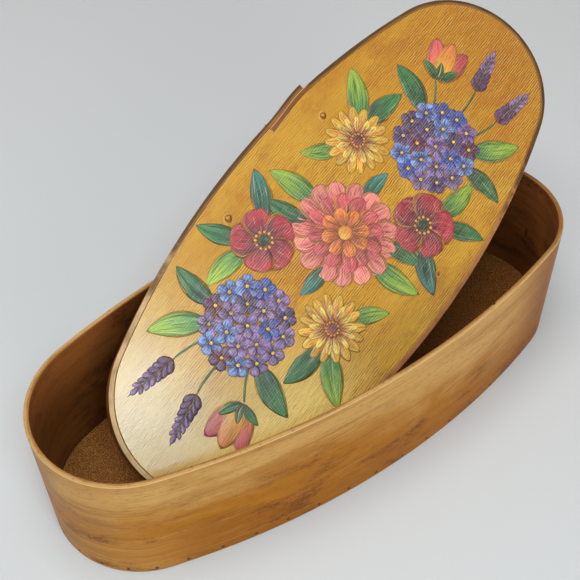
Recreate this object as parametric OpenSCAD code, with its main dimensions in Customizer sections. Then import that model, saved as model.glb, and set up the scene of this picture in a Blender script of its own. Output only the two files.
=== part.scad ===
// Oval bentwood keepsake box with a loose lid.
// The box's side and the lid's rim are thin wooden strips bent round into an oval, with their ends
// joined on the back. The bottom and the lid's board are flat panels, set in the strips and nailed
// through them. The lid is shown standing in the open box: its foot is on the bottom, and it leans
// on the box's edge at the back and at the right-hand end.
// Millimetres. X runs along the box, Y to its back and Z up. The origin is the middle of the base.

/* [Box] */
// Length of the box over its side
box_length = 396; // [340:1:460]
// Width of the box over its side
box_width = 163; // [145:1:185]
// Height of the box without its lid
box_height = 95; // [75:1:120]
// Outside radius of the round ends
end_radius = 61.5; // [52:0.5:68]
// Thickness of the bent strip that makes the side
side_thickness = 3.2; // [2:0.1:5]
// Thickness of the bottom panel
bottom_thickness = 6.4; // [4:0.1:10]

/* [Lid] */
// Thickness of the lid's board
board_thickness = 6; // [4:0.1:10]
// Thickness of the bent strip that makes the rim
rim_thickness = 3.2; // [2:0.1:5]
// Depth of the rim from the lid's top face
rim_depth = 30; // [20:1:40]
// Play between the rim and the side when the lid is on
lid_play = 0.8; // [0.4:0.1:2]

/* [Ends of the strips] */
// Length over which the two ends of a strip overlap
lap_length = 37; // [25:1:50]
// Distance from the middle of the back to the overlap
lap_start = 22; // [0:1:40]
// Gap between the two ends where they overlap
lap_seam = 0.2; // [0.1:0.05:0.4]
// Gap between a panel and the strip round it
panel_gap = 0.15; // [0.05:0.05:0.4]

/* [Nails and tacks] */
// Diameter of the wire
wire_diameter = 1.4; // [1:0.1:2]
// Diameter of the heads
head_diameter = 2.4; // [2:0.1:3.5]
// Thickness of the heads
head_thickness = 0.6; // [0.4:0.1:1]
// Length of the nails that hold the panels
nail_length = 14; // [10:1:20]
// Number of nails of the bottom round each end, where the strip springs most
bottom_end_nails = 9; // [5:1:12]
// Number of nails of the bottom along each side
bottom_side_nails = 14; // [8:1:18]
// Number of nails of the lid round each end
lid_end_nails = 4; // [3:1:8]
// Number of nails of the lid along each side
lid_side_nails = 8; // [5:1:12]
// Number of tacks in the side
side_tack_count = 5; // [3:1:7]
// Number of tacks in the rim
rim_tack_count = 3; // [2:1:4]
// Distance of the outer tacks from the edges of their strip
tack_margin = 5; // [4:0.5:8]
// Wood left over the point of a tack
tack_cover = 0.6; // [0.3:0.1:1]

/* [The lid at rest] */
// Turn of the lid towards the back, seen from above
lid_turn = 15; // [12:0.1:18]
// Distance of the lid's foot from the inside of the left-hand end
foot_from_end = 102.4; // [95:0.1:110]
// Distance of the lid's foot from the inside of the front
foot_from_front = 32.9; // [28:0.1:38]
// Clearance where the lid rests
seat_gap = 0.3; // [0.1:0.05:0.6]

/* [Hidden] */
$fn = 240;

// The oval has four arcs that meet without a corner, one at each end and one along each side.
// Every oval here is the box's own outline grown by some amount, about the same four centres.
end_x = box_length / 2 - end_radius;
side_radius = (end_x ^ 2 + (box_width / 2) ^ 2 - end_radius ^ 2) / (box_width - 2 * end_radius);
side_y = side_radius - box_width / 2;
// Half the angle of an end arc, in degrees
end_angle = atan2(side_y, end_x);
degrees_per_radian = 180 / PI;

// Growth of the oval at the faces of the strips and at the edges of the panels
side_in = -side_thickness;
bottom_out = side_in - panel_gap;
rim_in = lid_play;
rim_out = rim_in + rim_thickness;
board_out = rim_in - panel_gap;

// Height of the lid's board over the lower edge of its rim
board_z = rim_depth - board_thickness;

// Point of a grown oval where its outline faces the angle a
function oval_point(a, grow) =
    abs(sin(a)) * end_x < abs(cos(a)) * side_y
    ? [sign(cos(a)) * end_x, 0] + (end_radius + grow) * [cos(a), sin(a)]
    : [0, -sign(sin(a)) * side_y] + (side_radius + grow) * [cos(a), sin(a)];

// Distance of a point from the box's outline in plan, less than 0 inside
function oval_distance(p) =
    (abs(p.x) - end_x) * side_y > abs(p.y) * end_x
    ? norm([abs(p.x) - end_x, p.y]) - end_radius
    : norm([p.x, abs(p.y) + side_y]) - side_radius;

// Angles that the outline faces at even steps, some over each end arc and some over each side arc
function arc_angles(end_count, side_count) =
    let (side_span = 180 - 2 * end_angle)
    [for (half = [0, 180])
        each concat(
            [for (i = [0 : end_count - 1]) half + end_angle * (2 * (i + 0.5) / end_count - 1)],
            [for (i = [0 : side_count - 1]) half + end_angle + side_span * (i + 0.5) / side_count])];

module oval(grow) {
    for (end = [-1, 1])
        translate([end * end_x, 0])
            circle(end_radius + grow);
    intersection() {
        translate([0, side_y]) circle(side_radius + grow);
        translate([0, -side_y]) circle(side_radius + grow);
        square([2 * (end_x + (end_radius + grow) * cos(end_angle)), 2 * box_width], center = true);
    }
}

// The overlap of a strip's ends lies on the back arc, to the right of its middle.
// Its length is counted by u, from 0 at the inner end to 1 at the outer end.
function lap_angle(u) = 90 - (lap_start + u * lap_length) / side_radius * degrees_per_radian;
function back_point(a, grow) = [0, -side_y] + (side_radius + grow) * [cos(a), sin(a)];
function reversed(list) = [for (i = [len(list) - 1 : -1 : 0]) list[i]];

// Across the rim's overlap both layers climb by one thickness, level at the start and at the end
rim_climb = rim_thickness + lap_seam;
// Growth of the oval at the deepest part of the notch in the board
notch_in = rim_in - rim_climb - panel_gap;
function eased(u) = u < 0 ? 0 : u > 1 ? 1 : u * u * (3 - 2 * u);

// Points along a face of the overlap, between two values of u
lap_steps = 20;
function lap_face(grow, from, to) =
    [for (i = [0 : lap_steps])
        let (u = from + (to - from) * i / lap_steps)
        back_point(lap_angle(u), grow + rim_climb * eased(u))];

// One layer of the overlap, a hair thinner than the strip that it runs on from
hair = 0.02;
module lap_layer(inner, outer, from, to) {
    polygon(concat(lap_face(inner + hair, from, to), reversed(lap_face(outer - hair, from, to))));
}

// Outline of the rim. The outer end lies over the inner end, which is let into the board.
// Below the board the inner end is pared flush, so that the rim slides down over the box:
// nothing of it is left inside the oval of the given growth.
module rim_outline(pared_to) {
    difference() {
        oval(rim_out);
        oval(rim_in);
        polygon([for (u = [0, 1], grow = [-1, 1] * (u == 0 ? 1 : -1))
            back_point(lap_angle(u), grow * box_width / 2)]);
    }
    // Each layer starts inside the strip, by this part of the overlap
    root = 0.05;
    lap_layer(rim_in, rim_out, -root, 1);
    difference() {
        lap_layer(rim_in - rim_climb, rim_in - lap_seam, 0, 1 + root);
        oval(pared_to);
    }
}

// Notch in the board for the rim's inner end
module lap_notch() {
    gap_angle = panel_gap / side_radius * degrees_per_radian;
    polygon(concat(
        [back_point(lap_angle(0) + gap_angle, rim_out), back_point(lap_angle(0) + gap_angle, notch_in)],
        lap_face(notch_in, 0, 1),
        [back_point(lap_angle(1), rim_out)]
    ));
}

// Slanting cut through the side, which leaves its two ends tapered over each other and flush
module scarf_cut() {
    // The cut runs past both faces of the strip by this part of the overlap
    past = 0.2;
    function cut_point(u, shift) = back_point(lap_angle(u), side_in + side_thickness * u + shift);
    polygon([cut_point(-past, 0), cut_point(1 + past, 0),
             cut_point(1 + past, lap_seam), cut_point(-past, lap_seam)]);
}

// A nail with its head flush with a face that looks along X
module nail(length) {
    rotate([0, -90, 0]) {
        cylinder(d = head_diameter, h = head_thickness);
        cylinder(d = wire_diameter, h = length);
    }
}

// A nail driven square into a strip where its outline faces the angle a
module driven_nail(a, grow, z, length) {
    p = oval_point(a, grow);
    translate([p.x, p.y, z])
        rotate(a)
            nail(length);
}

// A pose of the lid is its climb along its length and its tilt towards the front, in degrees.
// The lid's own directions follow from it: along its length, across it and out of its top face.
function turned(v) = [v.x * cos(lid_turn) - v.y * sin(lid_turn),
                      v.x * sin(lid_turn) + v.y * cos(lid_turn), v.z];
function lid_axes(pose) = let (climb = pose[0], tilt = pose[1])
    [turned([cos(climb), 0, sin(climb)]),
     turned([-sin(tilt) * sin(climb), cos(tilt), sin(tilt) * cos(climb)]),
     turned([-cos(tilt) * sin(climb), -sin(tilt), cos(tilt) * cos(climb)])];

// The foot is the lowest point of the rim's lower edge, and it stands on the bottom
foot_place = [foot_from_end - box_length / 2 - side_in, foot_from_front - box_width / 2 - side_in,
              bottom_thickness + seat_gap];
function lid_on_foot(axes) =
    let (foot = oval_point(atan2(-axes[1].z, -axes[0].z), rim_out))
    foot_place - foot.x * axes[0] - foot.y * axes[1];

// Points of the rim's edge at height z of the lid that are over the box's own edge.
// The edge is sampled about every quarter of a millimetre, at this many points in each arc.
end_samples = 600;
side_samples = 1200;
edge_angles = arc_angles(end_samples, side_samples);
function over_edge(pose, z) =
    let (axes = lid_axes(pose), place = lid_on_foot(axes) + z * axes[2])
    [for (a = edge_angles)
        let (q = oval_point(a, rim_out), p = place + q.x * axes[0] + q.y * axes[1], d = oval_distance(p))
        if (d < seat_gap && d > side_in - seat_gap) p];

// Lift that takes such points clear of the box's edge, less than 0 where they are above it
function lift(points) =
    len(points) == 0 ? 0 : box_height + seat_gap - min([for (p = points) p.z]);

// Turns the lid about its foot, step by step, until it lies on the box's edge at the back and at the
// right-hand end
function seated(pose, steps) =
    steps == 0 ? pose
    : let (points = over_edge(pose, 0),
           back = lift([for (p = points) if (p.x < 0) p]),
           right = lift([for (p = points) if (p.x > 0) p]))
      seated(pose + degrees_per_radian * [right / (box_length - foot_from_end),
                                          back / (box_width - foot_from_front)], steps - 1);
first_pose = [18, 33];
seat_steps = 8;
lid_pose = seated(first_pose, seat_steps);
// What is left of the lift after the last step, for both edges of the rim
lid_lift = max(0, lift(over_edge(lid_pose, 0)), lift(over_edge(lid_pose, rim_depth)));
lid_place = lid_on_foot(lid_axes(lid_pose)) + [0, 0, lid_lift];

// Puts a piece of the lid, drawn level with its rim's lower edge at height 0, where the lid rests
module at_rest() {
    translate(lid_place)
        rotate([lid_pose[1], -lid_pose[0], lid_turn])
            children();
}

module box_side() {
    color("#b98a52")
        linear_extrude(box_height)
            difference() {
                oval(0);
                oval(side_in);
                scarf_cut();
            }
}

module box_bottom() {
    color("#6f4f2e")
        linear_extrude(bottom_thickness)
            oval(bottom_out);
}

module bottom_nails() {
    color("#3d342b")
        for (a = arc_angles(bottom_end_nails, bottom_side_nails))
            driven_nail(a, 0, bottom_thickness / 2, nail_length);
}

module side_tacks() {
    tack_step = (box_height - 2 * tack_margin) / (side_tack_count - 1);
    color("#3d342b")
        for (i = [0 : side_tack_count - 1])
            driven_nail(lap_angle(0.5), 0, tack_margin + i * tack_step, side_thickness - tack_cover);
}

module lid_board() {
    color("#c8964a")
        at_rest()
            translate([0, 0, board_z])
                linear_extrude(board_thickness)
                    difference() {
                        oval(board_out);
                        lap_notch();
                    }
}

module lid_rim() {
    color("#7a5530")
        at_rest() {
            linear_extrude(board_z) rim_outline(pared_to = rim_in);
            translate([0, 0, board_z]) linear_extrude(board_thickness) rim_outline(pared_to = notch_in);
        }
}

module lid_nails() {
    // The nails keep clear of the overlap by a head's width
    clear_angle = head_diameter / side_radius * degrees_per_radian;
    color("#3d342b")
        at_rest()
            for (a = arc_angles(lid_end_nails, lid_side_nails))
                if (a < lap_angle(1) - clear_angle || a > lap_angle(0) + clear_angle)
                    driven_nail(a, rim_out, board_z + board_thickness / 2, nail_length);
}

module lid_tacks() {
    // The tacks stand in a row near the outer end
    u = 0.85;
    climb = rim_climb * eased(u);
    tack_step = (rim_depth - 2 * tack_margin) / (rim_tack_count - 1);
    color("#3d342b")
        at_rest()
            for (i = [0 : rim_tack_count - 1])
                driven_nail(lap_angle(u), rim_out + climb, tack_margin + i * tack_step,
                            rim_thickness + climb - tack_cover);
}

box_side();
box_bottom();
bottom_nails();
side_tacks();
lid_board();
lid_rim();
lid_nails();
lid_tacks();
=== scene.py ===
"""Looks of the oval bentwood keepsake box: its woods, nails and painted lid, in metres, in the CAD frame."""
import math
import random

import bmesh
import bpy
from mathutils import Matrix, Vector


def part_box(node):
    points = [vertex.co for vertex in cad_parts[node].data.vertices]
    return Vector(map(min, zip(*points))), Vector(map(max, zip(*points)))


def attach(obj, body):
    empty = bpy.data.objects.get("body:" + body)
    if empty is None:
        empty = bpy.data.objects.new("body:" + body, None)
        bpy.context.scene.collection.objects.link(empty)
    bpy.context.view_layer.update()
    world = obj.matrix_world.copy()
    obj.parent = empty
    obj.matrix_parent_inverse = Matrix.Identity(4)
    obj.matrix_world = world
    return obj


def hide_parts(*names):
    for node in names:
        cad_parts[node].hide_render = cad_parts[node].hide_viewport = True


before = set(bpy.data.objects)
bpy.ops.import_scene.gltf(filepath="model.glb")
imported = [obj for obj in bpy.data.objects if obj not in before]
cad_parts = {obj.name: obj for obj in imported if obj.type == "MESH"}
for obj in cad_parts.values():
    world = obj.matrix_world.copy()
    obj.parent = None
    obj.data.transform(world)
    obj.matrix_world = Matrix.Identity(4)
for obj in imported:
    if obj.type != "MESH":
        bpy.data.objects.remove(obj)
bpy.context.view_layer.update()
scene = bpy.context.scene
scene.view_settings.view_transform = "Standard"


# The box's side is one thin strip of wood, bent round while wet and joined at the back by a long scarf.
# Outside it is varnished a honey brown that shows the grain along the strip. Inside it was stained dark.
# Its upper edge was sanded round, and handling has worn the varnish there to pale wood; its outer arris
# also has a painted highlight. Both faces are painted paler towards the upper edge, in part a painted sheen,
# and darker at the foot, a painted shade. Outside, the far end is painted darker as painted shade; inside,
# it is painted lighter as painted light.
side_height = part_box("box_side")[1].z
side_round, at_edge = 0.0005, 0.0001
# Depths below the upper edge between which the wear of its arris and of its flat sets in
arris_depths, flat_depths = (0.0009, 0.0004), (0.00012, 0.00003)
scarf_from, scarf_to = 0.008, 0.073
weld_gap = 2e-6
flat_angle, sharp_angle, smooth_angle = math.radians(0.4), math.radians(50), math.radians(12)
# Place and reach of a dark nick in the upper edge and of a stain on the far end
small_marks = (((0.0872, -0.0714, 0.0948), (0.0016, 0.0012, 0.0016)),
               ((0.1947, -0.0039, 0.0460), (0.0030, 0.0008, 0.0055)))


def welded_copy(node, name):
    """A copy of a CAD node, open in edit mode, with its loose triangles welded into whole faces."""
    bpy.ops.object.select_all(action="DESELECT")
    piece = bpy.data.objects.new(name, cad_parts[node].data.copy())
    scene.collection.objects.link(piece)
    piece.data.materials.clear()
    bpy.context.view_layer.objects.active = piece
    piece.select_set(True)
    bpy.ops.mesh.customdata_custom_splitnormals_clear()
    bpy.ops.object.mode_set(mode="EDIT")
    bpy.ops.mesh.select_all(action="SELECT")
    bpy.ops.mesh.remove_doubles(threshold=weld_gap)
    bpy.ops.mesh.dissolve_limited(angle_limit=flat_angle)
    bpy.ops.mesh.select_mode(type="EDGE")
    bpy.ops.mesh.select_all(action="DESELECT")
    return piece


def round_edges(piece, offset, wanted):
    """Rounds the sharp edges whose middle, in the part's frame, is wanted, and ends the edit."""
    mesh = bmesh.from_edit_mesh(piece.data)
    for edge in mesh.edges:
        sharp = len(edge.link_faces) == 2 and edge.calc_face_angle() > sharp_angle
        edge.select_set(sharp and wanted((edge.verts[0].co + edge.verts[1].co) / 2))
    bmesh.update_edit_mesh(piece.data)
    bpy.ops.mesh.bevel(offset=offset, segments=3, profile=0.5, affect="EDGES", clamp_overlap=False)
    bpy.ops.object.mode_set(mode="OBJECT")
    bpy.ops.object.shade_smooth_by_angle(angle=smooth_angle)


def new_finish(name, roughness, coat=0.0, coat_roughness=0.2, shine=0.5):
    """A node material with its surface shader: returns the material, its tree and the shader."""
    finish = bpy.data.materials.new(name)
    finish.use_nodes = True
    shader = finish.node_tree.nodes["Principled BSDF"]
    shader.inputs["Roughness"].default_value = roughness
    shader.inputs["Coat Weight"].default_value = coat
    shader.inputs["Coat Roughness"].default_value = coat_roughness
    shader.inputs["Specular IOR Level"].default_value = shine
    return finish, finish.node_tree, shader


def link(tree, value, socket):
    """Sets a socket to a number or colour, or links another socket to it."""
    if isinstance(value, bpy.types.NodeSocket):
        tree.links.new(value, socket)
    else:
        socket.default_value = value


def placed(tree, scale=(1, 1, 1), origin=(0, 0, 0), turn=(0, 0, 0)):
    """Object coordinates seen from an origin and turn, then stretched by a scale for each axis."""
    coordinates = tree.nodes.new("ShaderNodeTexCoord")
    seen = tree.nodes.new("ShaderNodeMapping")
    seen.vector_type = "TEXTURE"
    seen.inputs["Location"].default_value = origin
    seen.inputs["Rotation"].default_value = turn
    stretch = tree.nodes.new("ShaderNodeVectorMath")
    stretch.operation = "MULTIPLY"
    stretch.inputs[1].default_value = scale
    tree.links.new(coordinates.outputs["Object"], seen.inputs["Vector"])
    tree.links.new(seen.outputs["Vector"], stretch.inputs[0])
    return stretch.outputs["Vector"]


def noise(tree, vector, detail, roughness, distortion=0.0):
    """Cloudy values between 0 and 1, at the scale that the vector is stretched to."""
    node = tree.nodes.new("ShaderNodeTexNoise")
    node.inputs["Scale"].default_value = 1.0
    node.inputs["Detail"].default_value = detail
    node.inputs["Roughness"].default_value = roughness
    node.inputs["Distortion"].default_value = distortion
    tree.links.new(vector, node.inputs["Vector"])
    return node.outputs["Fac"]


def fade(tree, value, start, end, low=0.0, high=1.0):
    """Goes smoothly from low to high while the value goes from start to end."""
    node = tree.nodes.new("ShaderNodeMapRange")
    node.interpolation_type = "SMOOTHSTEP"
    tree.links.new(value, node.inputs["Value"])
    for name, number in (("From Min", start), ("From Max", end), ("To Min", low), ("To Max", high)):
        node.inputs[name].default_value = number
    return node.outputs["Result"]


def combined(tree, operation, first, second):
    """What a sum of two numbers or sockets comes to."""
    node = tree.nodes.new("ShaderNodeMath")
    node.operation = operation
    link(tree, first, node.inputs[0])
    link(tree, second, node.inputs[1])
    return node.outputs["Value"]


def times(tree, first, second):
    return combined(tree, "MULTIPLY", first, second)


def plus(tree, first, second):
    return combined(tree, "ADD", first, second)


def minus(tree, first, second):
    return combined(tree, "SUBTRACT", first, second)


def mixed(tree, share, under, over):
    """Two colours mixed, with the second one's share between 0 and 1."""
    node = tree.nodes.new("ShaderNodeMix")
    node.data_type = "RGBA"
    link(tree, share, node.inputs["Factor"])
    link(tree, under, node.inputs["A"])
    link(tree, over, node.inputs["B"])
    return node.outputs["Result"]


def axis_of(tree, vector, axis):
    """One of a vector's three numbers."""
    node = tree.nodes.new("ShaderNodeSeparateXYZ")
    tree.links.new(vector, node.inputs["Vector"])
    return node.outputs[axis]


def length_of(tree, vector):
    """How far a vector reaches."""
    node = tree.nodes.new("ShaderNodeVectorMath")
    node.operation = "LENGTH"
    tree.links.new(vector, node.inputs[0])
    return node.outputs["Value"]


def raised(tree, shader, height, strength, distance, socket="Normal"):
    """Bump from a height between 0 and 1, on the wood or on the varnish over it."""
    node = tree.nodes.new("ShaderNodeBump")
    node.inputs["Strength"].default_value = strength
    node.inputs["Distance"].default_value = distance
    tree.links.new(height, node.inputs["Height"])
    tree.links.new(node.outputs["Normal"], shader.inputs[socket])


def paint(red, green, blue):
    """A colour as a painter names it, 0 to 255, made linear for the shaders."""
    def linear(c):
        c = c / 255
        return c / 12.92 if c <= 0.04045 else ((c + 0.055) / 1.055) ** 2.4
    return (linear(red), linear(green), linear(blue), 1.0)


def spot_on(tree, colour, place, reach, tone):
    """A small mark of another tone on a surface, round a place and as big as its reach along each axis."""
    off_middle = length_of(tree, placed(tree, [1 / size for size in reach], place))
    return mixed(tree, fade(tree, off_middle, 1.0, 0.6, 0.0, 0.9), colour, tone)


def mark_across(piece, middle, up):
    """Marks each point of a bent strip with 1 on its outer wall and 0 on its inner wall."""
    outward = [0.0] * len(piece.data.vertices)
    for face in piece.data.polygons:
        level = face.normal - face.normal.dot(up) * up
        for corner in face.vertices:
            outward[corner] += level.dot(piece.data.vertices[corner].co - middle)
    layer = piece.data.attributes.new("across", "FLOAT", "POINT")
    layer.data.foreach_set("value", [1.0 if turn > 0 else 0.0 for turn in outward])


def across_strip(tree):
    """The mark that mark_across left: 1 on the outer wall, 0 on the inner one."""
    node = tree.nodes.new("ShaderNodeAttribute")
    node.attribute_name = "across"
    return node.outputs["Fac"]


worn_pale_and_highlight, worn_tan = paint(204, 166, 110), paint(186, 146, 92)
worn_brown, far_edge_shade = paint(156, 108, 56), paint(128, 86, 44)


def strip_finish(name, body, tan_and_sheen, streak_and_shade, stain, far, stain_top, gloss):
    """Wood whose grain runs round the bent strip: its pattern changes fast up the strip and slowly along it.
    It is painted paler towards the upper edge, in part a painted sheen, and darker at the foot, a painted
    shade. Its far end takes the tone far: painted shade on the outside, painted light on the shaded inside.
    It is stained in patches below the height stain_top. The upper edge is worn, with a painted highlight
    on its outer arris and painted shade towards the far end."""
    finish, tree, shader = new_finish(name, 0.45, 0.3 * gloss, shine=gloss)
    along, height = axis_of(tree, placed(tree), "X"), axis_of(tree, placed(tree), "Z")
    clouds = noise(tree, placed(tree, (8, 8, 18)), 4, 0.6, 0.5)
    bands = noise(tree, placed(tree, (4, 4, 110)), 4, 0.6, 0.8)
    lines = noise(tree, placed(tree, (20, 20, 560)), 5, 0.7, 0.4)
    pores = noise(tree, placed(tree, (170, 170, 1300)), 3, 0.65)
    patches = noise(tree, placed(tree, (22, 22, 60)), 5, 0.68, 0.5)
    flecks = noise(tree, placed(tree, (340, 340, 760)), 4, 0.7)
    rise = plus(tree, height, fade(tree, clouds, 0.28, 0.72, -0.022, 0.022))
    rise = plus(tree, rise, times(tree, along, 0.06))
    # The strip is painted paler towards its upper edge, in part a painted sheen.
    colour = mixed(tree, fade(tree, rise, 0.30 * side_height, 0.76 * side_height), body, tan_and_sheen)
    # Painted shade: the strip is painted darker towards its foot, except round the near end.
    foot = times(tree, fade(tree, along, -0.17, -0.12),
                 fade(tree, rise, 0.36 * side_height, 0.06 * side_height, 0.0, 0.75))
    colour = mixed(tree, foot, colour, streak_and_shade)
    near_foot = times(tree, fade(tree, along, -0.12, -0.18),
                      fade(tree, height, 0.6 * side_height, 0.2 * side_height, 0.0, 0.4))
    colour = mixed(tree, near_foot, colour, tan_and_sheen)
    # Painted shade and painted light: the far end takes the tone far. It is darker on the varnished outside,
    # where the light falls away, and lighter on the shaded inside wall.
    colour = mixed(tree, fade(tree, along, 0.10, 0.16, 0.0, 0.85), colour, far)
    colour = mixed(tree, fade(tree, clouds, 0.50, 0.66, 0.0, 0.55), colour, streak_and_shade)
    colour = mixed(tree, fade(tree, bands, 0.46, 0.66, 0.0, 0.45), colour, streak_and_shade)
    colour = mixed(tree, fade(tree, lines, 0.52, 0.68, 0.0, 0.42), colour, streak_and_shade)
    colour = mixed(tree, fade(tree, lines, 0.46, 0.32, 0.0, 0.3), colour, tan_and_sheen)
    colour = mixed(tree, fade(tree, pores, 0.56, 0.68, 0.0, 0.45), colour, stain)
    low = fade(tree, rise, stain_top, 0.3 * stain_top, 0.12, 0.9)
    blotch = times(tree, fade(tree, patches, 0.48, 0.67), fade(tree, flecks, 0.38, 0.60, 0.25, 1.0))
    colour = mixed(tree, times(tree, low, blotch), colour, stain)
    colour = mixed(tree, fade(tree, flecks, 0.60, 0.72, 0.0, 0.35), colour, stain)
    # The outer arris is pale from wear with a painted highlight on it. The inner arris is worn brown.
    arris = fade(tree, height, side_height - arris_depths[0], side_height - arris_depths[1])
    colour = mixed(tree, arris, colour, mixed(tree, across_strip(tree), worn_brown, worn_pale_and_highlight))
    flat_top = fade(tree, height, side_height - flat_depths[0], side_height - flat_depths[1])
    outer = plus(tree, across_strip(tree), fade(tree, clouds, 0.35, 0.65, -0.3, 0.3))
    edge_tone = mixed(tree, fade(tree, outer, 0.25, 0.85), worn_brown, worn_tan)
    # Painted shade: the flat of the upper edge is painted darker towards the far end.
    edge_tone = mixed(tree, fade(tree, along, 0.12, 0.19, 0.0, 0.7), edge_tone, far_edge_shade)
    edge_tone = mixed(tree, fade(tree, flecks, 0.54, 0.70, 0.0, 0.5), edge_tone, stain)
    colour = mixed(tree, flat_top, colour, edge_tone)
    for place, reach in small_marks:
        colour = spot_on(tree, colour, place, reach, paint(38, 22, 12))
    link(tree, colour, shader.inputs["Base Color"])
    raised(tree, shader, lines, 0.3, 0.0003)
    return finish


side = welded_copy("box_side", "bent_side")
round_edges(side, side_round, lambda at: min(at.z, side_height - at.z) < at_edge
            and not (at.y > 0 and scarf_from < at.x < scarf_to))
mark_across(side, Vector((0, 0, 0)), Vector((0, 0, 1)))
honey = strip_finish("honey_varnish", paint(166, 104, 6), paint(198, 152, 86), paint(142, 82, 6),
                     paint(98, 46, 10), paint(134, 74, 10), 0.75 * side_height, 0.1)
dark_stain = strip_finish("dark_stained_inside", paint(136, 78, 32), paint(148, 88, 42), paint(102, 58, 26),
                          paint(66, 38, 20), paint(158, 98, 48), 2.0 * side_height, 0.3)
side.data.materials.append(honey)
side.data.materials.append(dark_stain)
for face in side.data.polygons:
    inward = face.center.copy()
    inward.z = 0
    if face.normal.dot(inward) < -0.2 * inward.length and abs(face.normal.z) < 0.1:
        face.material_index = 1
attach(side, "box")
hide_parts("box_side")


# The bottom is a flat panel of brown hardboard, pressed from coarse fibres, that sits inside the strip.
# It is flush with the strip's lower edge, and nails through the strip hold it. Its cut edge and
# its underside are paler in patches.
panel_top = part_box("box_bottom")[1].z
panel_round = 0.0006
panel = welded_copy("box_bottom", "hardboard_bottom")
round_edges(panel, panel_round, lambda at: True)
finish, tree, shader = new_finish("brown_hardboard", 0.8)
crumbs = noise(tree, placed(tree, (1100, 1100, 1100)), 5, 0.75, 0.4)
flecks = noise(tree, placed(tree, (1200, 1200, 1200)), 3, 0.6)
patches = noise(tree, placed(tree, (14, 14, 14)), 3, 0.5)
colour = mixed(tree, fade(tree, crumbs, 0.43, 0.57), paint(60, 30, 6), paint(176, 108, 26))
colour = mixed(tree, fade(tree, flecks, 0.58, 0.66, 0.0, 0.9), colour, paint(206, 146, 58))
colour = mixed(tree, fade(tree, flecks, 0.42, 0.35, 0.0, 0.9), colour, paint(44, 22, 6))
colour = mixed(tree, fade(tree, patches, 0.35, 0.70, 0.0, 0.4), colour, paint(118, 66, 14))
cut_edge = fade(tree, axis_of(tree, placed(tree), "Z"), panel_top - 0.0001, panel_top - 0.0004)
bared = times(tree, cut_edge, fade(tree, patches, 0.42, 0.56))
colour = mixed(tree, bared, colour, paint(190, 142, 84))
link(tree, colour, shader.inputs["Base Color"])
raised(tree, shader, crumbs, 0.5, 0.0006)
panel.data.materials.append(finish)
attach(panel, "box")
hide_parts("box_bottom")


# The bottom's nails are thin steel wire nails, driven through the strip into the panel's edge about 20 mm
# apart, and closer round the ends. Their flat heads lie flush in the wood and have gone dark with rust. Five
# short tacks of the same wire hold the scarf of the strip.
rusted_wire, tree, shader = new_finish("rusted_wire", 0.55)
shader.inputs["Metallic"].default_value = 0.35
crust = noise(tree, placed(tree, (1800, 1800, 1800)), 4, 0.6)
colour = mixed(tree, fade(tree, crust, 0.35, 0.65), paint(24, 18, 14), paint(66, 42, 26))
link(tree, colour, shader.inputs["Base Color"])
raised(tree, shader, crust, 0.4, 0.0002)


def wire_nails(node):
    """Gives the CAD model's own nails the rusted wire."""
    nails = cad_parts[node]
    nails.data.materials.clear()
    nails.data.materials.append(rusted_wire)


wire_nails("bottom_nails")
wire_nails("side_tacks")


# The lid's board is a flat oval of pale softwood, set inside the rim and held by the rim's nails. Its top was
# brushed, which left short fine grooves, and then varnished amber. Its underside was only stained brown.
# Two small knots show near its back edge and one near its front.
lid_turn = math.radians(15)
board_round = 0.0004
board_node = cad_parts["lid_board"]
lid_up = max(board_node.data.polygons, key=lambda face: face.area).normal.copy()
if lid_up.z < 0:
    lid_up.negate()
lid_along = Vector((math.cos(lid_turn), math.sin(lid_turn), 0))
lid_along.z = -lid_along.dot(lid_up) / lid_up.z
lid_along.normalize()
lid_across = lid_up.cross(lid_along)
board_low, board_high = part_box("lid_board")
lid_heights = [vertex.co.dot(lid_up) for vertex in board_node.data.vertices]
board_thickness = max(lid_heights) - min(lid_heights)
lid_frame = Matrix((lid_along, lid_across, lid_up)).transposed().to_4x4()
lid_frame.translation = (board_low + board_high) / 2 + lid_up * board_thickness / 2
lid_place, lid_tilt = lid_frame.translation, lid_frame.to_euler("XYZ")
# Place along and across the lid, and radius, of each knot
knots = ((-0.0446, 0.0649, 0.0036), (0.0528, 0.0607, 0.0032), (0.0202, -0.0656, 0.0020))


def on_lid(tree, scale=(1, 1, 1)):
    """Coordinates along, across and above the lid's top face, stretched by a scale for each."""
    return placed(tree, scale, lid_place, lid_tilt)


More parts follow.
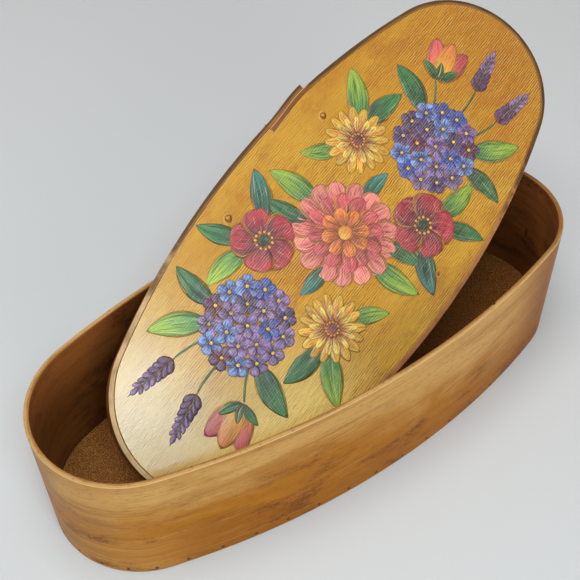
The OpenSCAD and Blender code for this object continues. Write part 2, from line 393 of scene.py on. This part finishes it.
def lid_wood(tree):
    """The brushed amber wood of the lid: returns its colour, its height, its grooves and its ridges."""
    bands = noise(tree, on_lid(tree, (5, 46, 0)), 4, 0.55, 0.8)
    clouds = noise(tree, on_lid(tree, (18, 30, 0)), 5, 0.65, 0.5)
    brush = tree.nodes.new("ShaderNodeTexWave")
    brush.bands_direction = "Y"
    brush.inputs["Scale"].default_value = 1.0
    brush.inputs["Distortion"].default_value = 4.0
    brush.inputs["Detail"].default_value = 4.0
    brush.inputs["Detail Scale"].default_value = 1.4
    brush.inputs["Detail Roughness"].default_value = 0.6
    link(tree, on_lid(tree, (130, 210, 0)), brush.inputs["Vector"])
    broken = noise(tree, on_lid(tree, (110, 340, 0)), 4, 0.65)
    fibres = noise(tree, on_lid(tree, (90, 1300, 0)), 3, 0.65)
    far_end, back = axis_of(tree, on_lid(tree), "X"), axis_of(tree, on_lid(tree), "Y")
    brushed = times(tree, fade(tree, broken, 0.38, 0.54), fade(tree, far_end, -0.17, -0.09, 0.5, 1.0))
    brushed = times(tree, brushed, fade(tree, back, 0.065, 0.030, 0.55, 1.0))
    strength = noise(tree, on_lid(tree, (16, 22, 0)), 3, 0.55)
    brushed = times(tree, brushed, fade(tree, strength, 0.36, 0.58, 0.55, 1.0))
    uneven = noise(tree, on_lid(tree, (60, 700, 0)), 4, 0.65)
    strokes = plus(tree, times(tree, brush.outputs["Fac"], 0.8),
                   fade(tree, uneven, 0.32, 0.68, 0.0, 0.2))
    grooves = times(tree, fade(tree, strokes, 0.40, 0.08), brushed)
    ridges = times(tree, fade(tree, strokes, 0.60, 0.90), brushed)
    colour = mixed(tree, fade(tree, bands, 0.36, 0.66), paint(186, 130, 22), paint(198, 150, 40))
    colour = mixed(tree, fade(tree, clouds, 0.46, 0.66, 0.0, 0.8), colour, paint(168, 104, 18))
    mottle = noise(tree, on_lid(tree, (60, 110, 0)), 4, 0.6, 0.8)
    colour = mixed(tree, fade(tree, mottle, 0.50, 0.68, 0.0, 0.5), colour, paint(164, 104, 26))
    colour = mixed(tree, fade(tree, far_end, 0.02, 0.20, 0.0, 0.5), colour, paint(168, 100, 20))
    # Painted sheen and painted light: towards the near end the wood is painted paler, where the varnish's
    # highlight falls. It is paler still along the front there, where the box's front wall shades the lid.
    colour = mixed(tree, fade(tree, far_end, -0.05, -0.15, 0.0, 0.6), colour, paint(198, 160, 84))
    near_front = times(tree, fade(tree, far_end, -0.04, -0.11), fade(tree, back, 0.005, -0.05, 0.0, 0.8))
    colour = mixed(tree, near_front, colour, paint(246, 212, 120))
    colour = mixed(tree, times(tree, ridges, 0.5), colour, paint(230, 188, 92))
    colour = mixed(tree, times(tree, grooves, 0.6), colour, paint(84, 44, 8))
    colour = mixed(tree, fade(tree, fibres, 0.52, 0.72, 0.0, 0.4), colour, paint(140, 90, 30))
    for along, across, radius in knots:
        knot_middle = lid_frame @ Vector((along, across, 0))
        off_knot = length_of(tree, placed(tree, (0.6, 1, 0), knot_middle, lid_tilt))
        colour = mixed(tree, fade(tree, off_knot, 5 * radius, radius, 0.0, 0.2), colour, paint(158, 98, 30))
    height = minus(tree, fade(tree, fibres, 0.7, 0.2, 0.8, 1.0), times(tree, grooves, 0.8))
    return colour, height, grooves, ridges


board = welded_copy("lid_board", "lid_panel")
round_edges(board, board_round, lambda at: True)
finish, tree, shader = new_finish("amber_brushed_wood", 0.4, 0.9, 0.2, shine=0.15)
colour, height = lid_wood(tree)[:2]
below_face = axis_of(tree, on_lid(tree), "Z")
# Painted shade: the board's edge below its top face is painted dark brown, as the shade of the narrow joint
# with the rim.
colour = mixed(tree, fade(tree, below_face, -0.00003, -0.00020, 0.0, 0.85), colour, paint(84, 48, 18))
link(tree, colour, shader.inputs["Base Color"])
raised(tree, shader, height, 0.6, 0.0004)
raised(tree, shader, height, 0.10, 0.0004, "Coat Normal")
board.data.materials.append(finish)
finish, tree, shader = new_finish("stained_underside", 0.6, shine=0.25)
grain = noise(tree, on_lid(tree, (8, 200, 0)), 5, 0.65, 0.6)
blotch = noise(tree, on_lid(tree, (22, 40, 0)), 4, 0.6, 0.5)
fibres = noise(tree, on_lid(tree, (60, 900, 0)), 3, 0.65)
colour = mixed(tree, fade(tree, grain, 0.38, 0.62), paint(122, 74, 34), paint(160, 104, 52))
colour = mixed(tree, fade(tree, blotch, 0.50, 0.68, 0.0, 0.5), colour, paint(96, 56, 26))
colour = mixed(tree, fade(tree, fibres, 0.54, 0.70, 0.0, 0.4), colour, paint(76, 44, 20))
link(tree, colour, shader.inputs["Base Color"])
raised(tree, shader, fibres, 0.3, 0.0003)
board.data.materials.append(finish)
for face in board.data.polygons:
    if face.normal.dot(lid_up) < -0.5:
        face.material_index = 1
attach(board, "lid")
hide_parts("lid_board")


# The knots are small hard pins of branch wood in the board. They have dried and sunk, so each is a dark
# hollow inside a low lip that the varnish has rounded.
knot_lip, knot_sunk = 0.0004, 0.0001
knot_stretch, knot_turn = (1.3, 0.9, 1, 1), 0.5
# Width, rise and sideways shift of each step from the lip to the heart
knot_steps = ((0.26, 0.5, 0), (0.16, 0.3, 0.08), (0.14, -0.3, 0.12), (0.22, -0.7, 0.06), (0.12, -0.2, 0))


def joined(name, copies):
    """Makes one piece of several."""
    bpy.ops.object.select_all(action="DESELECT")
    for copy in copies:
        copy.select_set(True)
    bpy.context.view_layer.objects.active = copies[0]
    bpy.ops.object.join()
    piece = bpy.context.object
    piece.name = name
    return piece


knot_pins = []
for along, across, radius in knots:
    bpy.ops.object.select_all(action="DESELECT")
    bpy.ops.mesh.primitive_cylinder_add(vertices=28, radius=radius, depth=knot_sunk, location=(0, 0, 0))
    pin = bpy.context.object
    bpy.ops.object.mode_set(mode="EDIT")
    bpy.ops.mesh.select_mode(type="FACE")
    bpy.ops.mesh.select_all(action="DESELECT")
    mesh = bmesh.from_edit_mesh(pin.data)
    for face in mesh.faces:
        face.select_set(face.normal.z > 0.9)
    bmesh.update_edit_mesh(pin.data)
    for step, rise, shift in knot_steps:
        bpy.ops.mesh.inset(thickness=step * radius)
        bpy.ops.transform.translate(value=(shift * radius, -shift * radius, rise * knot_lip))
    bpy.ops.object.mode_set(mode="OBJECT")
    bpy.ops.object.shade_smooth()
    pin.data.transform(lid_frame @ Matrix.Translation((along, across, 0)) @ Matrix.Rotation(knot_turn, 4, "Z")
                       @ Matrix.Diagonal(knot_stretch))
    knot_pins.append(pin)
pins = joined("lid_knots", knot_pins)
finish, tree, shader = new_finish("knot_wood", 0.42, 0.1, 0.25, shine=0.25)
rings = noise(tree, placed(tree, (700, 700, 700)), 3, 0.6)
colour = mixed(tree, fade(tree, rings, 0.35, 0.65), paint(186, 132, 48), paint(200, 150, 62))
for along, across, radius in knots:
    heart = lid_frame @ Vector((along + 0.20 * radius, across - 0.20 * radius, 0))
    colour = spot_on(tree, colour, heart, [0.95 * radius] * 3, paint(104, 54, 10))
    # The pale spot beside each dark heart is a painted glint on the knot's varnish.
    painted_glint = lid_frame @ Vector((along + 0.15 * radius, across + 0.10 * radius, 0))
    colour = spot_on(tree, colour, painted_glint, [0.36 * radius] * 3, paint(208, 146, 70))
link(tree, colour, shader.inputs["Base Color"])
raised(tree, shader, rings, 0.3, 0.0002)
pins.data.materials.append(finish)
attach(pins, "lid")


# The lid's rim is a second bent strip, nailed round the board and flush with its top face. At the back its
# outer end is lapped over the inner one, which is let into the board. Its top edge is dark with old varnish,
# browner beside the board and reddish along the front. Towards the near end it is painted pale, a painted
# highlight of the board's sheen. Its arrises, brightest along the front, and the arris of the lap's inner
# layer carry painted highlights.
rim_round = 0.0004
# Where the lap runs along the lid and how far it climbs, and the arc that the back of the rim follows
lap_from, lap_to, lap_climb = 0.022, 0.059, 0.0034
back_radius, back_centre = 0.5381, 0.4558
rim = welded_copy("lid_rim", "lid_rim_strip")
round_edges(rim, rim_round, lambda at: True)
mark_across(rim, lid_place, lid_up)
finish, tree, shader = new_finish("rubbed_and_highlit_rim", 0.5, 0.05, shine=0.2)
lap_at, back, height = (axis_of(tree, on_lid(tree), axis) for axis in "XYZ")
streaks = noise(tree, on_lid(tree, (12, 12, 240)), 5, 0.6, 0.3)
wear = noise(tree, on_lid(tree, (60, 60, 60)), 4, 0.6)
fibres = noise(tree, on_lid(tree, (60, 60, 1400)), 3, 0.6)
body = mixed(tree, fade(tree, streaks, 0.36, 0.64), paint(120, 74, 30), paint(172, 118, 56))
along = plus(tree, lap_at, fade(tree, wear, 0.3, 0.7, -0.03, 0.03))
front = times(tree, fade(tree, back, 0.0, -0.03), fade(tree, along, 0.12, 0.08))
off_near_end = fade(tree, along, -0.14, -0.06)
dark_top = mixed(tree, fade(tree, across_strip(tree), 0.15, 0.60), paint(140, 94, 48), paint(80, 52, 26))
# Painted highlight: towards the near end the top is painted pale, in the board's sheen.
top = mixed(tree, off_near_end, paint(192, 158, 114), dark_top)
top = mixed(tree, times(tree, front, off_near_end), top, paint(168, 110, 60))
top = mixed(tree, fade(tree, wear, 0.44, 0.70, 0.0, 0.35), top, paint(128, 92, 52))
arc_middle = lid_frame @ Vector((0, -back_centre, 0))
from_middle = length_of(tree, placed(tree, (1, 1, 0), arc_middle, lid_tilt))
seam = plus(tree, fade(tree, lap_at, lap_from, lap_to, 0.0, lap_climb), back_radius)
under_seam = minus(tree, seam, from_middle)
in_lap = times(tree, fade(tree, lap_at, lap_from - 0.0005, lap_from),
               fade(tree, lap_at, lap_to + 0.006, lap_to))
in_lap = times(tree, in_lap, fade(tree, back, 0.05, 0.06))
inner_layer = times(tree, in_lap, fade(tree, under_seam, 0.0, 0.0001))
top = mixed(tree, inner_layer, top, paint(130, 78, 36))
# Painted highlight on the arris of the lap's inner layer.
lit_arris = times(tree, inner_layer, fade(tree, under_seam, 0.0009, 0.0006))
by_top = fade(tree, height, -0.0008, -0.0004)
# Painted highlight on the rim's arrises near its top, brightest along the front.
arris_highlight = mixed(tree, front, paint(178, 138, 84), paint(214, 172, 120))
colour = mixed(tree, by_top, body, arris_highlight)
colour = mixed(tree, fade(tree, height, -0.00014, -0.00004), colour, top)
colour = mixed(tree, fade(tree, fibres, 0.35, 0.70, 0.0, 0.35), colour, paint(84, 52, 22))
colour = mixed(tree, times(tree, lit_arris, by_top), colour, paint(212, 158, 104))
link(tree, colour, shader.inputs["Base Color"])
raised(tree, shader, fibres, 0.25, 0.0003)
rim.data.materials.append(finish)
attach(rim, "lid")
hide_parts("lid_rim")


# The lid's nails hold the rim to the board's edge, and three tacks hold the lap. They are the same rusted
# wire as the bottom's.
wire_nails("lid_nails")
wire_nails("lid_tacks")


# The painted leaves and stems lie straight on the brushed wood of the lid, as all its flowers do. They were
# laid on in coloured strokes that follow the length of each leaf, and stand a hair proud of the board.
relief = 0.0003
stroke_width = 0.0009
leaf_step = 0.00008
hand = random.Random(11)


def leaf_shape(length, width, belly, blunt, bend=0.0, rows=12, files=8, ribbed=False):
    """The mesh of one leaf, petal or stem, flat on the board, from its root at the origin out along X.
    Belly moves its widest place, towards the tip above 1, and a small blunt number rounds its ends."""
    bpy.ops.object.select_all(action="DESELECT")
    bpy.ops.mesh.primitive_grid_add(x_subdivisions=rows, y_subdivisions=files, size=1)
    shape = bpy.context.object
    for vertex in shape.data.vertices:
        run, aside = vertex.co.x + 0.5, 2 * vertex.co.y
        swell = max(0.0, math.sin(math.pi * run ** belly)) ** blunt
        vault = 1 - abs(2 * abs(aside) - 1) ** 3 if ribbed else 1 - aside ** 2
        out, turn = width / 2 * swell * aside, bend * run
        spine = (length * run, 0.0)
        if bend:
            spine = (length * math.sin(turn) / bend, length * (1 - math.cos(turn)) / bend)
        vertex.co = (spine[0] - out * math.sin(turn), spine[1] + out * math.cos(turn),
                     relief * vault * min(1.0, 2 * swell))
    bpy.ops.object.mode_set(mode="EDIT")
    bpy.ops.mesh.select_all(action="SELECT")
    bpy.ops.mesh.remove_doubles(threshold=weld_gap / 2)
    bpy.ops.object.mode_set(mode="OBJECT")
    thick = shape.modifiers.new("thickness", "SOLIDIFY")
    thick.thickness = 0.6 * relief
    thick.offset = -1
    bpy.ops.object.modifier_apply(modifier=thick.name)
    mesh = shape.data
    mesh["strokes"] = max(3.0, width / stroke_width)
    bpy.data.objects.remove(shape)
    return mesh


def laid(mesh, place, turn, root, tip, lift, size=1.0, lean=0.0):
    """A copy of a shape on the lid: its root at a place on the top face, turned, scaled and leaned a little
    to one side. It is coloured from root to tip, with some of the hand's unevenness."""
    copy = bpy.data.objects.new("laid", mesh.copy())
    scene.collection.objects.link(copy)
    copy.data.transform(lid_frame @ Matrix.Translation((*place, lift)) @ Matrix.Rotation(turn, 4, "Z")
                        @ Matrix.Rotation(lean, 4, "X") @ Matrix.Diagonal((size, size, 1, 1)))
    shade, seed = hand.uniform(0.74, 1.06), hand.random()
    for name, colour, mark in (("root", root, seed), ("tip", tip, size * mesh["strokes"])):
        layer = copy.data.color_attributes.new(name, "FLOAT_COLOR", "POINT")
        tone = [shade * part for part in colour[:3]] + [mark]
        layer.data.foreach_set("color", tone * len(copy.data.vertices))
    return copy


def gathered(name, copies):
    """Joins laid copies into one painted piece that rides on the lid."""
    piece = joined(name, copies)
    piece.data.materials.append(coloured_strokes)
    bpy.ops.object.shade_smooth()
    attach(piece, "lid")


def stroke_finish():
    """Pigment in strokes over the brushed wood: the wood shows between the strokes, most at the edges."""
    finish, tree, shader = new_finish("coloured_strokes", 0.42, 0.3, 0.25)
    wood, grain, grooves, ridges = lid_wood(tree)
    spread = tree.nodes.new("ShaderNodeUVMap")
    root, tip = tree.nodes.new("ShaderNodeAttribute"), tree.nodes.new("ShaderNodeAttribute")
    root.attribute_name, tip.attribute_name = "root", "tip"
    run, aside = axis_of(tree, spread.outputs["UV"], "X"), axis_of(tree, spread.outputs["UV"], "Y")
    spot = tree.nodes.new("ShaderNodeCombineXYZ")
    link(tree, times(tree, run, 2.2), spot.inputs["X"])
    link(tree, times(tree, aside, tip.outputs["Alpha"]), spot.inputs["Y"])
    link(tree, times(tree, root.outputs["Alpha"], 90), spot.inputs["Z"])
    lines = noise(tree, spot.outputs["Vector"], 3, 0.65, 0.2)
    uneven = plus(tree, run, fade(tree, lines, 0.3, 0.7, -0.25, 0.25))
    pigment = mixed(tree, fade(tree, uneven, 0.05, 0.95), root.outputs["Color"], tip.outputs["Color"])
    pigment = mixed(tree, fade(tree, lines, 0.52, 0.36, 0.0, 0.55), pigment, paint(40, 26, 24))
    pigment = mixed(tree, fade(tree, lines, 0.58, 0.74, 0.0, 0.35), pigment, paint(238, 214, 176))
    pigment = mixed(tree, times(tree, ridges, 0.22), pigment, paint(238, 214, 176))
    pigment = mixed(tree, times(tree, grooves, 0.35), pigment, paint(52, 30, 22))
    off_spine = combined(tree, "ABSOLUTE", minus(tree, times(tree, aside, 2.0), 1.0), 0.0)
    to_tip = times(tree, minus(tree, 1.0, run), 5.0)
    inside = combined(tree, "MINIMUM", minus(tree, 1.0, off_spine), to_tip)
    edge = plus(tree, inside, fade(tree, lines, 0.3, 0.7, -0.16, 0.16))
    pigment = mixed(tree, fade(tree, edge, 0.42, 0.12, 0.0, 0.45), pigment, paint(48, 24, 26))
    colour = mixed(tree, fade(tree, edge, 0.0, 0.14), wood, pigment)
    link(tree, colour, shader.inputs["Base Color"])
    height = plus(tree, times(tree, grain, 0.5), times(tree, lines, 0.7))
    raised(tree, shader, height, 0.45, 0.0006)
    return finish


coloured_strokes = stroke_finish()
dark_green, green, lime = paint(24, 70, 44), paint(46, 118, 58), paint(150, 182, 44)
teal = paint(52, 128, 112)
leaf = leaf_shape(0.034, 0.0145, 0.85, 0.8, 0.4, 14, ribbed=True)
back_leaf = leaf_shape(0.034, 0.0145, 0.85, 0.8, -0.4, 14, ribbed=True)
stem = leaf_shape(0.026, 0.0016, 1.0, 0.2, 0.35, 20)
rosette_at, poppy_at, daisy_at = Vector((0, 0)), Vector((0.040, -0.038)), Vector((0.056, 0.032))
violet_at, tulip_at = Vector((0.090, -0.012)), Vector((0.130, 0.016))
leaf_places = (
    (rosette_at, 0.026, ((leaf, 84, 1.15, green, lime), (back_leaf, 8, 0.8, dark_green, teal),
                         (back_leaf, 114, 0.95, dark_green, green))),
    (poppy_at, 0.013, ((leaf, -20, 1.05, green, lime), (back_leaf, -54, 0.95, dark_green, green),
                       (leaf, -142, 1.05, dark_green, teal))),
    (daisy_at, 0.013, ((back_leaf, 152, 0.85, green, lime), (leaf, 34, 1.15, green, lime),
                       (back_leaf, 4, 1.05, dark_green, green))),
    (violet_at, 0.025, ((leaf, 56, 1.15, dark_green, green), (back_leaf, -84, 1.0, dark_green, green),
                        (leaf, -54, 1.15, green, lime))),
)
ear_places = ((Vector((0.111, -0.026)), -30), (Vector((0.117, -0.011)), -8))
tulip_stem = (Vector((0.107, 0.004)), 20)


def half_turn(place, way):
    """The same place on the other half of the lid when way is -1."""
    return Vector((way * place[0], way * place[1]))


def facing(degrees, way):
    """A heading on the lid, turned about for the other half."""
    return math.radians(degrees) + (0 if way > 0 else math.pi)


def away(heading, reach):
    """The step from a place along a heading."""
    return Vector((reach * math.cos(heading), reach * math.sin(heading)))


copies = []
for way in (1, -1):
    for centre, reach, spray in leaf_places:
        for i, (mesh, degrees, size, root, tip) in enumerate(spray):
            heading = facing(degrees, way)
            copies.append(laid(mesh, half_turn(centre, way) + away(heading, reach), heading, root, tip,
                               leaf_step * i, size))
    for foot, degrees in ear_places + (tulip_stem,):
        copies.append(laid(stem, half_turn(foot, way), facing(degrees, way), dark_green, green, 0.0001))
gathered("painted_leaves", copies)


# The big rosette in the middle has three rings of round petals, coral outside and orange inside, laid over
# each other like tiles, round a yellow eye.
coral, rose, salmon = paint(214, 84, 92), paint(196, 62, 84), paint(238, 136, 118)
orange, amber, rust = paint(226, 122, 42), paint(232, 176, 52), paint(158, 66, 38)
petal_stray, petal_lean = 0.05, 0.025


def ring(mesh, centre, count, radius, root, tip, lift, start=0.0, size=1.0):
    """Petals round a centre, each leaned a little so that it lies over the next one."""
    found = []
    for i in range(count):
        turn = start + 2 * math.pi * i / count + hand.uniform(-petal_stray, petal_stray)
        root_place = (centre[0] + radius * math.cos(turn), centre[1] + radius * math.sin(turn))
        grown = size * hand.uniform(0.94, 1.05)
        found.append(laid(mesh, root_place, turn, root, tip, lift, grown, petal_lean))
    return found


def eye(centre, radius, root, tip, lift):
    """A round heart of a flower."""
    mesh = leaf_shape(2 * radius, 2 * radius, 1.0, 0.5)
    return laid(mesh, (centre[0] - radius, centre[1]), 0.0, root, tip, lift)


round_petal = leaf_shape(0.020, 0.0150, 1.5, 0.55)
copies = ring(round_petal, rosette_at, 15, 0.0155, rose, salmon, 0.0002, 0.0, 1.05)
copies += ring(round_petal, rosette_at, 12, 0.0088, rust, coral, 0.0004, 0.2, 0.9)
copies += ring(round_petal, rosette_at, 8, 0.0033, rust, orange, 0.0006, 0.1, 0.7)
copies.append(eye(rosette_at, 0.0052, amber, orange, 0.0008))
gathered("painted_rosette", copies)


# The poppies, one on each half of the lid, have five broad crimson petals that are dark at the root. A small
# black heart with a ring of yellow seeds was painted over the roots last.
crimson, maroon, black_green = paint(182, 40, 58), paint(92, 22, 44), paint(34, 30, 26)
broad_petal = leaf_shape(0.0212, 0.0242, 1.45, 0.5, rows=14)
seed_dot = leaf_shape(0.0022, 0.0022, 1.0, 0.5, rows=5, files=4)
copies = []
for way in (1, -1):
    poppy = half_turn(poppy_at, way)
    copies += ring(broad_petal, poppy, 5, 0.001, maroon, crimson, 0.0004, way * 0.3)
    copies.append(eye(poppy, 0.0042, black_green, dark_green, 0.0007))
    copies += ring(seed_dot, poppy, 11, 0.0046, amber, amber, 0.0007)
gathered("painted_poppies", copies)


# The daisies, one on each half of the lid, have two rings of narrow yellow petals with orange roots. A domed
# rust heart with a ring of amber seeds was painted over the roots last.
yellow, lemon = paint(222, 172, 36), paint(236, 206, 84)
narrow_petal = leaf_shape(0.0170, 0.0074, 1.25, 0.6, files=6)
copies = []
for way in (1, -1):
    daisy = half_turn(daisy_at, way)
    copies += ring(narrow_petal, daisy, 16, 0.0065, orange, yellow, 0.0003)
    copies += ring(narrow_petal, daisy, 13, 0.0042, rust, lemon, 0.0005, 0.2, 0.75)
    copies.append(eye(daisy, 0.0060, rust, maroon, 0.0007))
    copies += ring(seed_dot, daisy, 12, 0.0036, amber, rust, 0.0009)
gathered("painted_daisies", copies)


# The violets stand in two close heads of small five-petalled flowers, purple, lavender and blue, each with
# a yellow eye. They were painted from the outside of the head inwards.
purple, violet, lavender = paint(84, 54, 112), paint(58, 40, 92), paint(150, 120, 178)
blue, deep_blue, sky = paint(66, 96, 186), paint(40, 52, 128), paint(120, 156, 216)
violet_petal = leaf_shape(0.0078, 0.0076, 1.35, 0.5, rows=6, files=4)
violet_eye = leaf_shape(0.0028, 0.0028, 1.0, 0.5, rows=5, files=4)
violet_tones = ((violet, purple), (purple, lavender), (deep_blue, blue), (violet, lavender), (maroon, purple),
                (deep_blue, sky))
copies = []
for way in (1, -1):
    for level, (count, reach) in enumerate(((13, 0.0250), (7, 0.0138), (1, 0.0))):
        for i in range(count):
            turn = 2 * math.pi * (i + 0.3 * level) / count
            out = Vector((1.05 * reach * math.cos(turn), 0.95 * reach * math.sin(turn)))
            head = half_turn(violet_at + out, way)
            root, tip = violet_tones[hand.randrange(len(violet_tones))]
            lift = 0.0003 + 0.0002 * level
            copies += ring(violet_petal, head, 5, 0.0006, root, tip, lift, hand.uniform(0, 2))
            copies.append(laid(violet_eye, head - Vector((0.0014, 0)), 0.0, amber, lemon, lift + 0.0003))
gathered("painted_violets", copies)


# The tulips at the ends have three overlapping petals, orange at the root and red at the tip, with green
# leaves at the foot. The middle petal lies over the two outer ones, and the leaves lie over all three.
cup_petal = leaf_shape(0.031, 0.0165, 0.8, 0.6)
copies = []
for way in (1, -1):
    foot, heading = half_turn(tulip_at, way), facing(12, way)
    for swing, root, tip, lift in ((0.42, orange, coral, 0.0003), (-0.42, orange, rose, 0.0003),
                                   (0.0, amber, orange, 0.0005)):
        copies.append(laid(cup_petal, foot, heading + swing, root, tip, lift))
    for swing, size in ((0.9, 0.5), (-0.9, 0.5), (0.0, 0.4)):
        copies.append(laid(leaf, foot, heading + swing, dark_green, green, 0.0007, size))
gathered("painted_tulips", copies)


# The lavender ears beside the tulips are pairs of small buds up a thin stem, purple at the foot and paler
# towards the tip. Each bud is one short stroke of the brush.
bud_pairs, bud_pitch, bud_swing = 6, 0.0048, 0.6
bud = leaf_shape(0.0088, 0.0046, 1.2, 0.6, rows=6, files=4)
ear_stem = leaf_shape(0.038, 0.0013, 1.0, 0.2, rows=16, files=4)
copies = []
for way in (1, -1):
    for stem_foot, degrees in ear_places:
        heading = facing(degrees, way)
        foot = half_turn(stem_foot, way) + away(heading + 0.17, 0.0245)
        heading += 0.33
        copies.append(laid(ear_stem, foot, heading, dark_green, teal, 0.0002))
        for i in range(bud_pairs):
            bud_place, tip = foot + away(heading, 0.002 + bud_pitch * i), lavender if i > 2 else purple
            for swing in (bud_swing, -bud_swing):
                copies.append(laid(bud, bud_place, heading + swing, maroon, tip, 0.0003, 1.15 - 0.08 * i))
        copies.append(laid(bud, foot + away(heading, 0.029), heading, purple, lavender, 0.0004, 0.8))
gathered("painted_lavender", copies)


# The floor is a wide plain sheet of pale paper, lighter far off. A wide soft lamp hangs over the box, another
# stands far off in front of it, and the room adds an even light. A small lamp before the box gives the
# varnish of the lid its sheen.
floor_size, floor_drop = 60, 0.0003
near_reach, far_reach = 3.0, 9.0
room_tint, room_strength = (1.0, 0.985, 0.97, 1.0), 0.46
white_light, cool_light = (1, 1, 1), (0.65, 0.92, 1.0)
box_middle, lid_near_end = (0, 0, 0.05), (-0.107, -0.017, 0.063)
bpy.ops.object.select_all(action="DESELECT")
bpy.ops.mesh.primitive_plane_add(size=floor_size, location=(0, 0, -floor_drop))
floor = bpy.context.object
floor.name = "pale_floor"
finish, tree, shader = new_finish("pale_paper", 0.9)
far_off = fade(tree, length_of(tree, placed(tree)), near_reach, far_reach)
colour = mixed(tree, far_off, paint(203, 205, 206), paint(250, 250, 250))
link(tree, colour, shader.inputs["Base Color"])
floor.data.materials.append(finish)

world = bpy.data.worlds.new("room")
world.use_nodes = True
world.node_tree.nodes["Background"].inputs["Color"].default_value = room_tint
world.node_tree.nodes["Background"].inputs["Strength"].default_value = room_strength
scene.world = world


def soft_lamp(name, place, aim, size, power, tint, spread):
    """A square soft lamp that looks from its place to its aim, with its light kept to a spread in degrees."""
    place, aim = Vector(place), Vector(aim)
    bpy.ops.object.light_add(type="AREA", location=place)
    lamp = bpy.context.object
    lamp.name = name
    lamp.data.size = size
    lamp.data.energy = power
    lamp.data.color = tint
    lamp.data.spread = math.radians(spread)
    lamp.rotation_euler = (aim - place).to_track_quat("-Z", "Y").to_euler()


soft_lamp("wide_lamp", (-0.35, -0.1, 1.9), box_middle, 1.2, 20.5, white_light, 180)
soft_lamp("front_lamp", (-0.7, -4.2, 1.22), box_middle, 2.45, 8.2, white_light, 50)
soft_lamp("sheen_lamp", (-0.175, -0.76, 1.12), lid_near_end, 0.24, 0.28, cool_light, 50)


# The camera looks down on the box from beyond its front left corner, as the picture was taken. It stands
# close, so the near end of the box looks larger than the far end.
camera_place = (-0.251558, -0.335855, 0.541444)
camera_yaw, camera_pitch, camera_roll = 0.6025, 0.8090, 0.0231
focal_pixels, frame_pixels, sensor_width = 954.26, 580, 36
bpy.ops.object.camera_add()
camera = bpy.context.object
camera.matrix_world = (Matrix.Translation(camera_place)
                       @ Matrix.Rotation(-camera_yaw, 4, "Z")
                       @ Matrix.Rotation(math.pi / 2 - camera_pitch, 4, "X")
                       @ Matrix.Rotation(-camera_roll, 4, "Z"))
camera.data.sensor_width = sensor_width
camera.data.lens = sensor_width * focal_pixels / frame_pixels
camera.data.clip_start = 0.01
scene.camera = camera
